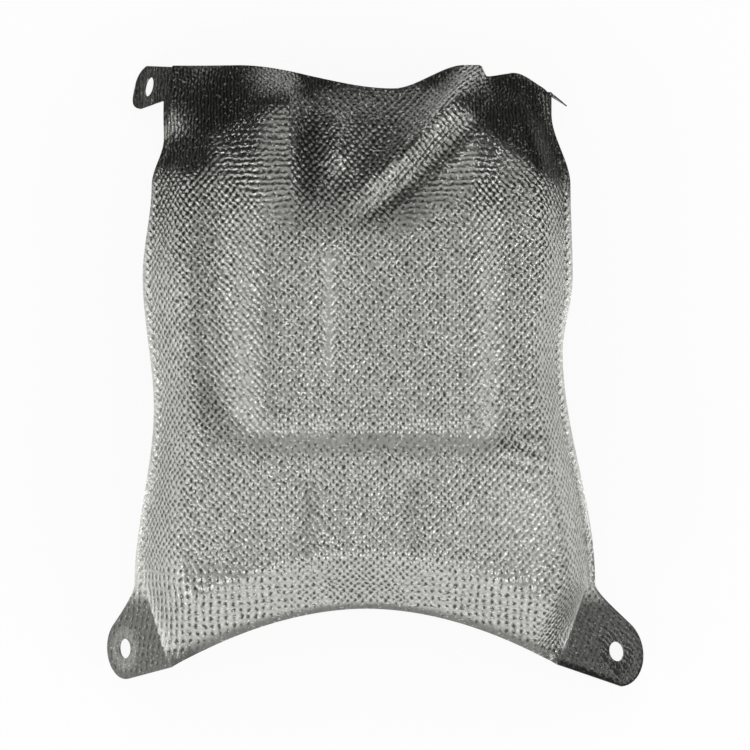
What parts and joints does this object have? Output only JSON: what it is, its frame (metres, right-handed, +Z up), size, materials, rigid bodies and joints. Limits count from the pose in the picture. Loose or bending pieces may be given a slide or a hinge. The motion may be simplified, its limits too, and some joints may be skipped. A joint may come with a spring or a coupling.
{
  "type": "exhaust heat shield",
  "caption": "Pressed sheet-metal heat shield with a deep vault, a bent-back hood, an arched lower edge and round-ended ears with bolt holes.",
  "frame": {"origin": "middle of the surface that it lies on, under the centre of its outline", "axes": "+X across the shield to the right ears, +Y towards the bent-back hood, +Z up out of the vault"},
  "size_m": [0.2436, 0.2806, 0.0656],
  "materials": {
    "embossed_aluminium": "embossed mill finish, dull with bright glints on the bumps"
  },
  "bodies": {
    "root": {"heat_shield": "embossed_aluminium"}
  },
  "joints": []
}
